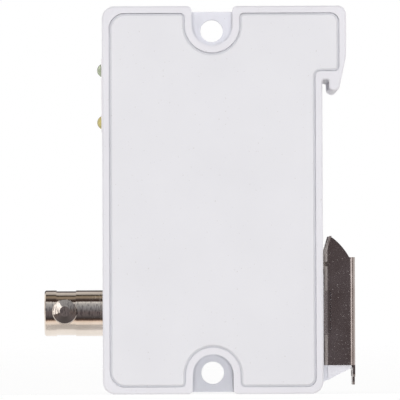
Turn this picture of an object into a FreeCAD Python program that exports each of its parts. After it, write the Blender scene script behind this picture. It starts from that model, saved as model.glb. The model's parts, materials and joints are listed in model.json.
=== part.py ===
import FreeCAD, Part
import math
import os
from types import SimpleNamespace

import Sketcher

# Driving dimensions in millimetres.
# X runs from the front face to the rail side, Y from the covered side to the far side, Z up.
SIZES = {
    # Moulded housing
    "body_height": 81.0,
    "body_depth": 46.0,
    "body_thickness": 25.0,
    "head_reach": 5.0,
    "origin_setback": 20.2,
    "outer_corner": 2.6,
    "head_corner": 1.8,
    "edge_softening": 0.3,
    "base_wall": 2.0,
    "rim": 1.45,
    "rear_rim": 1.45,
    "head_rim": 1.7,
    "ledge": 0.75,
    "cavity_corner": 1.0,
    # Fixed hook over the top edge of the rail
    "slot_rise": 25.1,
    "slot_width": 1.38,
    "slot_softening": 0.5,
    "hook_drop": 1.2,
    "hook_tip_radius": 1.15,
    "hook_shoulder_rise": 5.0,
    "hook_blend": 6.0,
    # Screw notches and lugs
    "notch_inset": 4.05,
    "notch_radius": 4.25,
    "notch_mouth": 1.0,
    "lug_thickness": 2.5,
    "screw_hole": 4.8,
    # Side cover
    "cover_thickness": 2.0,
    "cover_chamfer": 0.45,
    "seam_gap": 0.13,
    "seam_front_corner": 3.3,
    "seam_rear_corner": 1.9,
    "seam_small_corner": 1.0,
    "snap_length": 5.0,
    "snap_thickness": 1.2,
    "snap_width": 5.0,
    "snap_gap": 0.2,
    "barb_reach": 0.5,
    "barb_height": 1.2,
    "snap_front": 10.0,
    "snap_rear": 9.0,
    "snap_drop": 13.5,
    "snap_rise": 11.5,
    # Label film on the front face
    "overlay_thickness": 0.2,
    "overlay_margin": 2.15,
    "overlay_width": 19.0,
    "overlay_corner": 1.5,
    # Clearances
    "running_gap": 0.3,
    "fit_gap": 0.05,
    "panel_gap": 0.15,
    # Circuit board and its screws
    "board_thickness": 1.6,
    "board_face": 7.4,
    "board_margin": 0.5,
    "post_front": 11.0,
    "post_rear": 7.0,
    "post_inset": 6.0,
    "post_diameter": 5.0,
    "screw_diameter": 2.0,
    "screw_length": 4.4,
    "screw_head_diameter": 4.2,
    "screw_head_height": 1.5,
    "screw_recess_width": 0.6,
    "screw_recess_length": 2.4,
    "screw_recess_depth": 0.8,
    "pin_stub": 1.1,
    # Coaxial bayonet jack
    "jack_height": 16.9,
    "barrel_diameter": 9.65,
    "barrel_reach": 12.4,
    "barrel_root": 8.0,
    "barrel_bore": 8.1,
    "barrel_bore_depth": 9.5,
    "barrel_chamfer": 0.25,
    "groove_start": 2.5,
    "groove_length": 4.1,
    "groove_depth": 0.18,
    "lug_setback": 4.3,
    "lug_base": 5.3,
    "lug_edge": 0.16,
    "lug_rise": 0.36,
    "lug_root": 1.4,
    "lug_top": 2.15,
    "lug_span": 11.0,
    "jack_hole": 11.6,
    "insulator_diameter": 4.8,
    "insulator_setback": 0.9,
    "insulator_root": 7.0,
    "contact_diameter": 2.2,
    "contact_bore": 1.35,
    "contact_setback": 1.4,
    "contact_root": 11.0,
    "jack_base_front": 2.5,
    "jack_base_length": 14.0,
    "jack_base_width": 14.5,
    "jack_post_diameter": 1.6,
    "jack_post_spread": 10.16,
    "jack_pin_diameter": 0.9,
    "jack_pin_pitch": 2.54,
    # Network socket
    "socket_gap": 1.55,
    "port_width": 16.0,
    "port_rise": 13.5,
    "port_length": 16.0,
    "port_recess": 0.3,
    "shell_thickness": 0.3,
    "plug_width": 11.9,
    "plug_rise": 7.0,
    "plug_depth": 12.5,
    "plug_offset": 4.4,
    "latch_width": 6.2,
    "latch_rise": 1.6,
    "wire_pitch": 1.02,
    "wire_width": 0.4,
    "wire_thickness": 0.3,
    "wire_start": 3.0,
    "wire_end": 10.5,
    "wire_dip": 2.3,
    "shell_leg_setback": 9.0,
    "shell_leg_width": 1.6,
    # Power socket
    "power_width": 9.0,
    "power_rise": 11.0,
    "power_length": 14.0,
    "power_axis": 6.5,
    "power_bore": 6.4,
    "power_bore_depth": 9.5,
    "power_pin_diameter": 2.0,
    "power_pin_setback": 0.8,
    "power_lead_width": 2.0,
    "power_lead_thickness": 0.6,
    # Indicator lamps
    "lamp_rise": 4.85,
    "lamp_pitch": 11.0,
    "lamp_diameter": 3.0,
    "lamp_reach": 1.25,
    "lamp_length": 5.3,
    "lamp_flange_diameter": 3.6,
    "lamp_flange": 1.0,
    "lamp_lead": 0.5,
    "lamp_lead_pitch": 2.54,
    "lamp_lead_run": 2.4,
    # Board components
    "part_gap": 1.0,
    "parts_low": 16.5,
    "parts_setback": 4.5,
    "modem_side": 10.0,
    "chip_rise": 0.9,
    "capacitor_diameter": 6.3,
    "capacitor_rise": 7.7,
    "transformer_length": 16.0,
    "transformer_width": 7.2,
    "transformer_rise": 5.8,
    "foot_reach": 1.6,
    "foot_width": 0.6,
    "foot_thickness": 0.3,
    "foot_pitch": 1.27,
    "ethernet_side": 7.0,
    "crystal_length": 5.0,
    "crystal_width": 3.2,
    "crystal_rise": 1.1,
    "inductor_side": 7.0,
    "inductor_rise": 3.6,
    "inductor_cut": 1.0,
    # Sprung steel clip under the lower edge of the rail
    "sheet": 0.5,
    "clip_width": 16.5,
    "clip_depth": 6.55,
    "lip_gap": 0.25,
    "lip_width": 2.6,
    "web_bend": 1.25,
    "lip_bend": 0.8,
    "rail_width": 35.0,
    "grip_slack": 1.5,
    "tongue_rise": 3.85,
    "tongue_lean": 1.15,
    "tongue_bend": 0.45,
    "flank_foot": 1.23,
    "flank_head": 4.6,
    "flank_rise": 3.4,
    "flank_radius": 13.0,
    "web_drop": 0.6,
    "relief_drop": 2.0,
    "relief_width": 1.0,
    "relief_reach": 1.2,
    "window_drop": 7.6,
    "window_length": 9.3,
    "window_reach": 1.45,
    "guide_offset": 1.35,
    "seat_drop": 5.0,
    "seat_width": 4.2,
    "clip_length": 23.2,
    "shoulder_drop": 2.5,
    "tail_drop": 4.2,
    "tail_width": 8.0,
    "tail_corner": 0.8,
    "tool_slot_width": 5.0,
    "tool_slot_rise": 1.2,
    "tool_slot_drop": 1.8,
    "clip_travel": 3.5,
    # Plastic guide block that carries the clip
    "guide_slope": 3.0,
    "guide_setup": 0.6,
    "guide_headroom": 1.0,
    "nub_diameter": 1.0,
    "nub_rise": 0.2,
    "nub_setback": 3.6,
    # Clip spring
    "spring_length": 15.5,
    "spring_diameter": 4.2,
    "spring_wire": 0.5,
    "spring_turns": 5.0,
}

SMALLEST_CUT = 1e-6
OVERRUN = 1.0
SOCKET_WIRES = 8
TRANSFORMER_FEET = 10
WIRE_SIDES = 6
BARREL_TURN = 4.5

doc = FreeCAD.newDocument("EthernetOverCoaxReceiver")
sheet = doc.addObject("Spreadsheet::Sheet", "Sizes")
for row, (alias, number) in enumerate(SIZES.items(), start=1):
    sheet.set(f"A{row}", str(number))
    sheet.setAlias(f"A{row}", alias)
doc.recompute()


class Length:
    """A length of the sheet, or one worked out from such lengths, with its expression."""

    def __init__(self, value, text):
        self.value = value
        self.text = text

    def __add__(self, other):
        other = length(other)
        return Length(self.value + other.value, f"({self.text} + {other.text})")

    def __sub__(self, other):
        other = length(other)
        return Length(self.value - other.value, f"({self.text} - {other.text})")

    def __rsub__(self, other):
        return length(other) - self

    def __mul__(self, factor):
        factor = length(factor)
        return Length(self.value * factor.value, f"({self.text} * {factor.text})")

    def __truediv__(self, divisor):
        divisor = length(divisor)
        return Length(self.value / divisor.value, f"({self.text} / {divisor.text})")

    def __neg__(self):
        return Length(-self.value, f"(-{self.text})")


def length(number):
    """Gives a plain number its expression, and leaves a length as it is."""
    if isinstance(number, Length):
        return number
    return Length(float(number), repr(float(number)))


def square_root(area):
    return Length(math.sqrt(area.value), f"sqrt({area.text})")


s = SimpleNamespace(**{alias: Length(sheet.get(alias), f"Sizes.{alias}") for alias in SIZES})
ZERO = length(0)

# Lengths that several pieces share
half_thickness = s.body_thickness / 2
cover_face = -half_thickness
cover_inside = cover_face + s.cover_thickness
base_inside = half_thickness - s.base_wall
board_back = s.board_face + s.board_thickness
mid_height = s.body_height / 2
mid_depth = s.body_depth / 2
head_depth = s.body_depth + s.head_reach
parts_middle = mid_depth + s.parts_setback
wall = s.rim + s.ledge
rear_wall = s.rear_rim + s.ledge
slot_top = mid_height + s.slot_rise
head_floor = slot_top + s.head_rim
clip_half = s.clip_width / 2
lip_edge = clip_half - s.lip_width
lip_face = s.body_depth + s.lip_gap
web_face = lip_face + s.clip_depth
web_inside = web_face - s.sheet
guide_back = web_inside - s.running_gap
guide_half = clip_half - s.sheet - s.running_gap
tongue_root = slot_top - s.rail_width - s.grip_slack
tongue_tip = tongue_root + s.tongue_rise
web_top = tongue_root - s.web_drop
window_high = tongue_root - s.window_drop
window_low = window_high - s.window_length
seat_height = web_top - s.seat_drop
clip_bottom = tongue_root - s.clip_length
guide_foot = clip_bottom - s.guide_setup
guide_top = seat_height + s.sheet + s.guide_headroom
spring_floor = seat_height - s.spring_length
spring_radius = s.spring_diameter / 2
spring_axis = guide_back - spring_radius
channel_half = spring_radius + s.running_gap
tip = -s.barrel_reach
power_height = s.jack_height + s.jack_base_width / 2 + s.socket_gap + s.power_width / 2
port_height = power_height + s.power_width / 2 + s.socket_gap + s.port_width / 2
yellow_height = port_height + s.port_width / 2 + s.lamp_rise
green_height = yellow_height + s.lamp_pitch


def bind(item, name, size):
    item.setExpression(name, size.text)


def new_body(name):
    """Starts a piece whose zero point is on the front face, at mid thickness and at the bottom."""
    body = doc.addObject("PartDesign::Body", name)
    body.Label = name
    place(body, ZERO, ZERO, ZERO)
    return body


def place(body, x, y, z):
    bind(body, "Placement.Base.x", x - s.origin_setback)
    bind(body, "Placement.Base.y", y)
    bind(body, "Placement.Base.z", z)


def origin_item(body, role):
    return next(item for item in body.Origin.OriginFeatures if item.Role == role)


def new_sketch(body, role, offset):
    sketch = body.newObject("Sketcher::SketchObject", f"{body.Name}_sketch")
    sketch.AttachmentSupport = [(origin_item(body, role), "")]
    sketch.MapMode = "FlatFace"
    bind(sketch, "AttachmentOffset.Base.z", offset)
    return sketch


def side_sketch(body, y):
    """A sketch in X and Z at the depth y, whose normal points at the covered side."""
    return new_sketch(body, "XZ_Plane", -y)


def plan_sketch(body, z):
    """A sketch in X and Y at the height z, whose normal points up."""
    return new_sketch(body, "XY_Plane", length(z))


def front_sketch(body, x):
    """A sketch in Y and Z at the distance x, whose normal points at the rail side."""
    return new_sketch(body, "YZ_Plane", length(x))


def tie_across(sketch, geometry, point, across):
    """Ties a point's distance from the sketch's upright axis."""
    if across.value == 0:
        sketch.addConstraint(Sketcher.Constraint("PointOnObject", geometry, point, -2))
        return
    rule = Sketcher.Constraint("DistanceX", -1, 1, geometry, point, across.value)
    bind(sketch, f"Constraints[{sketch.addConstraint(rule)}]", across)


def tie_up(sketch, geometry, point, up):
    """Ties a point's distance from the sketch's level axis."""
    if up.value == 0:
        sketch.addConstraint(Sketcher.Constraint("PointOnObject", geometry, point, -1))
        return
    rule = Sketcher.Constraint("DistanceY", -1, 1, geometry, point, up.value)
    bind(sketch, f"Constraints[{sketch.addConstraint(rule)}]", up)


def circle(sketch, across, up, radius):
    across, up = length(across), length(up)
    centre = FreeCAD.Vector(across.value, up.value, 0)
    normal = FreeCAD.Vector(0, 0, 1)
    geometry = sketch.addGeometry(Part.Circle(centre, normal, radius.value), False)
    tie_across(sketch, geometry, 3, across)
    tie_up(sketch, geometry, 3, up)
    rule = Sketcher.Constraint("Radius", geometry, radius.value)
    bind(sketch, f"Constraints[{sketch.addConstraint(rule)}]", radius)


def heading(start, end):
    """The level or upright direction from one corner to the next."""
    across = end[0].value - start[0].value
    up = end[1].value - start[1].value
    if abs(across) > abs(up):
        return (math.copysign(1.0, across), 0.0)
    return (0.0, math.copysign(1.0, up))


def expand(corners):
    """Turns each rounded right-angled corner into two points with an arc between them.

    A corner is (across, up), or (across, up, radius) where it is rounded. A corner
    (across, up, centre across, centre up, turn) ends an arc that comes from the corner before it,
    and turn is 1 for an arc that runs counterclockwise and -1 for one that runs clockwise.
    """
    points = []
    for index, corner in enumerate(corners):
        if len(corner) != 3:
            points.append(corner)
            continue
        across, up, radius = corner
        coming = heading(corners[index - 1], corner)
        going = heading(corner, corners[(index + 1) % len(corners)])
        start = (across - radius * coming[0], up - radius * coming[1])
        end = (across + radius * going[0], up + radius * going[1])
        centre = (start[0] + radius * going[0], start[1] + radius * going[1])
        turn = coming[0] * going[1] - coming[1] * going[0]
        points.append(start)
        points.append((*end, *centre, turn))
    return points


def arc_between(start, end, centre, turn):
    """The arc from start to end about centre, with the sketch's own point order."""
    middle = FreeCAD.Vector(centre[0].value, centre[1].value, 0)
    first = FreeCAD.Vector(start[0].value, start[1].value, 0) - middle
    last = FreeCAD.Vector(end[0].value, end[1].value, 0) - middle
    first_angle = math.atan2(first.y, first.x)
    last_angle = math.atan2(last.y, last.x)
    if turn < 0:
        first_angle, last_angle = last_angle, first_angle
    if last_angle <= first_angle:
        last_angle += 2 * math.pi
    ring = Part.Circle(middle, FreeCAD.Vector(0, 0, 1), first.Length)
    return Part.ArcOfCircle(ring, first_angle, last_angle)


def outline(sketch, corners):
    """Draws one closed outline, every point of which is tied to its sizes."""
    points = expand([tuple(length(item) for item in corner[:4]) + tuple(corner[4:]) for corner in corners])
    sides = []
    for index, start in enumerate(points):
        end = points[(index + 1) % len(points)]
        apart = math.hypot(end[0].value - start[0].value, end[1].value - start[1].value)
        if len(end) == 2 and apart < SMALLEST_CUT:
            continue
        if len(end) == 2:
            first = FreeCAD.Vector(start[0].value, start[1].value, 0)
            last = FreeCAD.Vector(end[0].value, end[1].value, 0)
            geometry = sketch.addGeometry(Part.LineSegment(first, last), False)
            sides.append((geometry, 1, 2, start, None))
            continue
        centre, turn = end[2:4], end[4]
        geometry = sketch.addGeometry(arc_between(start, end, centre, turn), False)
        begin_point, end_point = (1, 2) if turn > 0 else (2, 1)
        level = abs(end[0].value - start[0].value) > abs(end[1].value - start[1].value)
        sides.append((geometry, begin_point, end_point, start, (centre, level)))
    for index, (geometry, begin_point, end_point, start, bow) in enumerate(sides):
        following = sides[(index + 1) % len(sides)]
        rule = Sketcher.Constraint("Coincident", geometry, end_point, following[0], following[1])
        sketch.addConstraint(rule)
        tie_across(sketch, geometry, begin_point, start[0])
        tie_up(sketch, geometry, begin_point, start[1])
        if bow and bow[1]:
            tie_up(sketch, geometry, 3, bow[0][1])
        elif bow:
            tie_across(sketch, geometry, 3, bow[0][0])


def rectangle(sketch, left, low, right, high, radius=None):
    corners = [(left, low), (right, low), (right, high), (left, high)]
    if radius is not None:
        corners = [(*corner, radius) for corner in corners]
    outline(sketch, corners)


def pad(body, sketch, size, backwards=False, both_ways=False):
    feature = body.newObject("PartDesign::Pad", f"{body.Name}_pad")
    feature.Profile = sketch
    feature.Reversed = backwards
    if both_ways:
        feature.SideType = "Symmetric"
    bind(feature, "Length", size)
    doc.recompute()
    return feature


def pocket(body, sketch, size, backwards=False, both_ways=False):
    """Cuts a sketch into the piece, against its normal unless backwards, and tests that it cuts."""
    before = body.Shape.Volume
    feature = body.newObject("PartDesign::Pocket", f"{body.Name}_pocket")
    feature.Profile = sketch
    feature.Reversed = backwards
    if both_ways:
        feature.SideType = "Symmetric"
    bind(feature, "Length", size)
    doc.recompute()
    if body.Shape.Volume > before - SMALLEST_CUT:
        raise RuntimeError(f"{feature.Name} removes nothing from {body.Name}")
    return feature


def revolve(body, sketch, role):
    feature = body.newObject("PartDesign::Revolution", f"{body.Name}_revolution")
    feature.Profile = sketch
    feature.ReferenceAxis = (origin_item(body, role), [""])
    feature.Angle = 360
    doc.recompute()
    return feature


def dress(body, kind, size, wanted):
    """Rounds or bevels the edges that wanted picks."""
    names = [f"Edge{i}" for i, edge in enumerate(body.Shape.Edges, start=1) if wanted(edge)]
    if not names:
        raise RuntimeError(f"no edge found on {body.Name}")
    base = body.Tip
    feature = body.newObject(f"PartDesign::{kind}", f"{body.Name}_{kind.lower()}")
    feature.Base = (base, names)
    bind(feature, "Radius" if kind == "Fillet" else "Size", size)
    doc.recompute()
    return feature


def local(body, point):
    return body.Placement.inverse().multVec(point)


def runs_along_y(body, spots):
    """Picks edges parallel to Y that pass through one of the given places in X and Z."""
    places = [(length(across).value, length(up).value) for across, up in spots]

    def wanted(edge):
        ends = [local(body, vertex.Point) for vertex in edge.Vertexes]
        if len(ends) != 2 or math.hypot(ends[0].x - ends[1].x, ends[0].z - ends[1].z) > 1e-4:
            return False
        return any(math.hypot(ends[0].x - x, ends[0].z - z) < 1e-3 for x, z in places)

    return wanted


def lies_at_y(body, y):
    """Picks edges that lie wholly in the plane at the depth y."""

    def wanted(edge):
        box = edge.BoundBox
        return abs(box.YMin - y.value) < 1e-4 and abs(box.YMax - y.value) < 1e-4

    return wanted


def u_shape(sketch, radius, edge, centre_height):
    """A notch outline: straight sides from edge to centre_height and a half circle beyond."""
    left = mid_depth - radius
    right = mid_depth + radius
    turn = 1 if length(edge).value > centre_height.value else -1
    outline(sketch, [
        (left, edge),
        (left, centre_height),
        (right, centre_height, mid_depth, centre_height, turn),
        (right, edge),
    ])


def notch_pair(sketch, radius, overrun):
    """The lower and the upper notch outline, whose straight ends pass the housing by overrun."""
    u_shape(sketch, radius, -length(overrun), s.notch_inset)
    u_shape(sketch, radius, s.body_height + overrun, s.body_height - s.notch_inset)


def cover_outline(sketch, gap):
    """The outline of the cover and of its recess: it follows the housing and rounds the notches."""
    front = s.rim + gap
    low = s.rim + gap
    high = s.body_height - s.rim - gap
    rear = s.body_depth - s.rear_rim - gap
    head_rear = head_depth - s.rim - gap
    head_low = head_floor + gap
    bow = s.notch_radius + s.rim + gap
    left = mid_depth - bow
    right = mid_depth + bow
    low_centre = s.notch_inset
    high_centre = s.body_height - s.notch_inset
    outline(sketch, [
        (front, low, s.seam_front_corner - gap),
        (left, low, s.seam_small_corner - gap),
        (left, low_centre),
        (right, low_centre, mid_depth, low_centre, -1),
        (right, low, s.seam_small_corner - gap),
        (rear, low, s.seam_rear_corner - gap),
        (rear, head_low, s.seam_small_corner + gap),
        (head_rear, head_low, s.seam_small_corner - gap),
        (head_rear, high, s.seam_rear_corner - gap),
        (right, high, s.seam_small_corner - gap),
        (right, high_centre),
        (left, high_centre, mid_depth, high_centre, -1),
        (left, high, s.seam_small_corner - gap),
        (front, high, s.seam_front_corner - gap),
    ])


def post_places():
    """The two opposite corners where the board is screwed down."""
    return [
        (s.post_front, s.body_height - s.post_inset),
        (s.body_depth - s.post_rear, length(s.post_inset)),
    ]


def snap_places():
    """Each snap as its middle, across and up, and the direction from it to the wall it grips."""
    low_wall = wall
    high_wall = s.body_height - wall
    rear = s.body_depth - rear_wall
    return [
        (s.snap_front, low_wall, 0, -1),
        (s.body_depth - s.snap_rear, low_wall, 0, -1),
        (s.snap_front, high_wall, 0, 1),
        (s.body_depth - s.snap_rear, high_wall, 0, 1),
        (rear, mid_height - s.snap_drop, 1, 0),
        (rear, mid_height + s.snap_rise, 1, 0),
    ]


def snap_block(sketch, snap, near, far, width):
    """A rectangle beside a wall, from near to far on its way to the wall and width along it."""
    x, z, to_x, to_z = snap
    half = width / 2
    if to_x:
        rectangle(sketch, x - near, z - half, x - far, z + half)
    elif to_z > 0:
        rectangle(sketch, x - half, z - near, x + half, z - far)
    else:
        rectangle(sketch, x - half, z + far, x + half, z + near)


def housing_block(body):
    """The outer form with the head and the fixed hook, solid through its thickness."""
    hook_inner = s.body_depth + s.slot_width
    hook_tip = slot_top - s.hook_drop
    hook_shoulder = slot_top + s.hook_shoulder_rise
    hook_middle = hook_inner + s.hook_tip_radius
    hook_outer = hook_middle + s.hook_tip_radius
    sketch = side_sketch(body, half_thickness)
    outline(sketch, [
        (0, 0, s.outer_corner),
        (s.body_depth, 0, s.outer_corner),
        (s.body_depth, slot_top),
        (hook_inner, slot_top),
        (hook_inner, hook_tip),
        (hook_outer, hook_tip, hook_middle, hook_tip, 1),
        (head_depth, hook_shoulder),
        (head_depth, s.body_height, s.head_corner),
        (0, s.body_height, s.outer_corner),
    ])
    pad(body, sketch, s.body_thickness)
    dress(body, "Fillet", s.hook_blend, runs_along_y(body, [(head_depth, hook_shoulder)]))
    slot_corners = [(s.body_depth, slot_top), (hook_inner, slot_top)]
    dress(body, "Fillet", s.slot_softening, runs_along_y(body, slot_corners))
    dress(body, "Chamfer", s.edge_softening, lies_at_y(body, cover_face))
    dress(body, "Chamfer", s.edge_softening, lies_at_y(body, half_thickness))


def housing_hollow(body):
    """The inside, open at the covered side, with the walls round the notches left standing."""
    sketch = side_sketch(body, cover_face)
    rear = s.body_depth - rear_wall
    head_low = head_floor + s.ledge
    head_rear = head_depth - wall
    high = s.body_height - wall
    outline(sketch, [
        (wall, wall, s.cavity_corner),
        (rear, wall, s.cavity_corner),
        (rear, head_low, s.cavity_corner),
        (head_rear, head_low, s.cavity_corner),
        (head_rear, high, s.cavity_corner),
        (wall, high, s.cavity_corner),
    ])
    pocket(body, sketch, s.body_thickness - s.base_wall)
    sketch = side_sketch(body, half_thickness)
    notch_pair(sketch, s.notch_radius + wall, -s.rim)
    pad(body, sketch, s.body_thickness)
    sketch = side_sketch(body, cover_face)
    cover_outline(sketch, ZERO)
    pocket(body, sketch, s.cover_thickness)


def housing_notches(body):
    """The open notches, each with a lug at the far side and its screw hole."""
    sketch = side_sketch(body, cover_face)
    notch_pair(sketch, s.notch_radius, OVERRUN)
    pocket(body, sketch, s.body_thickness - s.lug_thickness)
    sketch = side_sketch(body, cover_face)
    for height in (s.notch_inset, s.body_height - s.notch_inset):
        circle(sketch, mid_depth, height, s.screw_hole / 2)
    pocket(body, sketch, s.body_thickness)
    mouths = [
        (mid_depth + side * s.notch_radius.value, height)
        for side in (-1, 1)
        for height in (ZERO, s.body_height)
    ]
    dress(body, "Fillet", s.notch_mouth, runs_along_y(body, mouths))


def housing_openings(body):
    """The holes of the front wall for the jack, the two sockets and the lamps."""
    sketch = front_sketch(body, 0)
    circle(sketch, 0, s.jack_height, s.jack_hole / 2)
    for height in (green_height, yellow_height):
        circle(sketch, 0, height, s.lamp_diameter / 2 + s.fit_gap)
    for height, width, rise in (
        (port_height, s.port_width, s.port_rise),
        (power_height, s.power_width, s.power_rise),
    ):
        half = width / 2 + s.panel_gap
        near = s.board_face - rise - s.panel_gap
        far = s.board_face + s.panel_gap
        rectangle(sketch, near, height - half, far, height + half)
    pocket(body, sketch, wall, backwards=True)


def housing_guide(body):
    """The block behind the rail side on which the clip slides, with its grooves and channel."""
    inner = s.body_depth - s.ledge
    sketch = side_sketch(body, ZERO)
    outline(sketch, [
        (inner, guide_foot - s.guide_slope),
        (s.body_depth, guide_foot - s.guide_slope),
        (guide_back, guide_foot),
        (guide_back, guide_top),
        (inner, guide_top),
    ])
    pad(body, sketch, guide_half * 2, both_ways=True)
    groove_end = lip_face + s.sheet + s.running_gap
    root = lip_edge - s.running_gap
    sketch = plan_sketch(body, 0)
    rectangle(sketch, s.body_depth, root, groove_end, clip_half)
    rectangle(sketch, s.body_depth, -clip_half, groove_end, -root)
    pocket(body, sketch, guide_top + OVERRUN, backwards=True)
    slot_low = window_low - s.clip_travel - s.running_gap
    slot_end = lip_face + s.window_reach + s.running_gap
    slot_side = clip_half - s.guide_offset - s.sheet - s.running_gap
    sketch = plan_sketch(body, slot_low)
    rectangle(sketch, s.body_depth, slot_side, slot_end, clip_half)
    rectangle(sketch, s.body_depth, -clip_half, slot_end, -slot_side)
    pocket(body, sketch, window_high + s.running_gap - slot_low, backwards=True)
    sketch = plan_sketch(body, spring_floor)
    rectangle(sketch, spring_axis - channel_half, -channel_half, web_face, channel_half)
    pocket(body, sketch, guide_top + OVERRUN - spring_floor, backwards=True)
    sketch = side_sketch(body, ZERO)
    circle(sketch, s.body_depth + s.nub_setback, guide_foot - s.running_gap, s.nub_diameter / 2)
    pad(body, sketch, (guide_half + s.nub_rise) * 2, both_ways=True)


def housing_posts(body):
    """The posts under the board with their screw holes, and the recesses for the cover's snaps."""
    sketch = side_sketch(body, base_inside)
    for x, z in post_places():
        circle(sketch, x, z, s.post_diameter / 2)
    pad(body, sketch, base_inside - board_back)
    sketch = side_sketch(body, board_back)
    for x, z in post_places():
        circle(sketch, x, z, s.screw_diameter / 2 + s.fit_gap)
    pocket(body, sketch, s.screw_length - s.board_thickness + s.fit_gap)
    sketch = side_sketch(body, cover_inside + s.snap_length - s.barb_height * 2 - s.snap_gap)
    for snap in snap_places():
        reach = s.barb_reach + s.snap_gap
        snap_block(sketch, snap, s.snap_gap, -reach, s.snap_width + s.snap_gap * 2)
    pocket(body, sketch, s.barb_height + s.snap_gap * 2)


def housing():
    """The white moulded case, one piece with its hook, lugs and clip guide."""
    body = new_body("housing")
    housing_block(body)
    housing_hollow(body)
    housing_notches(body)
    housing_openings(body)
    housing_guide(body)
    housing_posts(body)


def side_cover():
    """The inset cover with a bevelled rim, held by six snaps on its inside."""
    body = new_body("side_cover")
    sketch = side_sketch(body, cover_inside)
    cover_outline(sketch, s.seam_gap)
    pad(body, sketch, s.cover_thickness)
    dress(body, "Chamfer", s.cover_chamfer, lies_at_y(body, cover_face))
    sketch = side_sketch(body, cover_inside)
    for snap in snap_places():
        snap_block(sketch, snap, s.snap_gap + s.snap_thickness, s.snap_gap, s.snap_width)
    pad(body, sketch, s.snap_length, backwards=True)
    sketch = side_sketch(body, cover_inside + s.snap_length - s.barb_height * 2)
    for snap in snap_places():
        snap_block(sketch, snap, s.snap_gap + s.snap_thickness, -s.barb_reach, s.snap_width)
    pad(body, sketch, s.barb_height, backwards=True)


def front_overlay():
    """The thin film round the lamps on the front face."""
    body = new_body("front_overlay")
    half = s.overlay_width / 2
    sketch = front_sketch(body, 0)
    low = yellow_height - s.overlay_margin
    high = green_height + s.overlay_margin
    rectangle(sketch, -half, low, half, high, s.overlay_corner)
    for height in (green_height, yellow_height):
        circle(sketch, 0, height, s.lamp_diameter / 2 + s.panel_gap)
    pad(body, sketch, s.overlay_thickness, backwards=True)


def lead_places():
    """Where the lamp leads pass the board."""
    x = s.lamp_length - s.lamp_reach + s.lamp_lead_run
    half = s.lamp_lead_pitch / 2
    return [(x, height + side * half.value) for height in (green_height, yellow_height) for side in (-1, 1)]


def jack_post_places():
    x = s.jack_base_front + s.jack_pin_pitch
    half = s.jack_post_spread / 2
    return [(x, s.jack_height - half), (x, s.jack_height + half)]


def jack_pin_places():
    x = s.jack_base_front + s.jack_base_length - s.jack_pin_pitch
    return [(x, s.jack_height), (x - s.jack_pin_pitch, s.jack_height + s.jack_pin_pitch)]


def shell_leg_places():
    """Where the two legs of the socket's shell pass the board, as their middles."""
    x = s.port_recess + s.shell_leg_setback
    half = s.port_width / 2 - s.shell_thickness / 2
    return [(x, port_height - half), (x, port_height + half)]


def power_lead_places():
    rear = s.port_recess + s.power_length - s.power_lead_thickness
    return [(rear, power_height), (rear - s.power_lead_width * 2, power_height)]


def slots(sketch, places, across, up, gap):
    """Rectangles of the size across and up, widened by gap, about each place."""
    half_across = across / 2 + gap
    half_up = up / 2 + gap
    for x, z in places:
        rectangle(sketch, x - half_across, z - half_up, x + half_across, z + half_up)


def main_pcb():
    """The circuit board with the holes for its screws, pins and leads."""
    body = new_body("main_pcb")
    sketch = side_sketch(body, board_back)
    front = wall + s.board_margin
    rear = s.body_depth - rear_wall - s.board_margin
    high = s.body_height - wall - s.board_margin
    rectangle(sketch, front, front, rear, high, s.cavity_corner)
    pad(body, sketch, s.board_thickness)
    sketch = side_sketch(body, s.board_face)
    notch_pair(sketch, s.notch_radius + wall + s.board_margin, 0)
    for x, z in post_places():
        circle(sketch, x, z, s.screw_diameter / 2 + s.panel_gap)
    for x, z in jack_post_places():
        circle(sketch, x, z, s.jack_post_diameter / 2 + s.fit_gap)
    for x, z in jack_pin_places():
        circle(sketch, x, z, s.jack_pin_diameter / 2 + s.fit_gap)
    slots(sketch, lead_places(), s.lamp_lead, s.lamp_lead, s.fit_gap)
    slots(sketch, shell_leg_places(), s.shell_leg_width, s.shell_thickness, s.fit_gap)
    slots(sketch, power_lead_places(), s.power_lead_thickness, s.power_lead_width, s.fit_gap)
    pocket(body, sketch, s.board_thickness)


def pcb_screws():
    """Two pan head screws with cross recesses."""
    body = new_body("pcb_screws")
    sketch = side_sketch(body, s.board_face)
    for x, z in post_places():
        circle(sketch, x, z, s.screw_head_diameter / 2)
    pad(body, sketch, s.screw_head_height)
    sketch = side_sketch(body, s.board_face)
    for x, z in post_places():
        circle(sketch, x, z, s.screw_diameter / 2)
    pad(body, sketch, s.screw_length, backwards=True)
    top = s.board_face - s.screw_head_height
    for across, up in (
        (s.screw_recess_length, s.screw_recess_width),
        (s.screw_recess_width, s.screw_recess_length),
    ):
        sketch = side_sketch(body, top)
        slots(sketch, post_places(), across, up, 0)
        pocket(body, sketch, s.screw_recess_depth)


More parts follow.
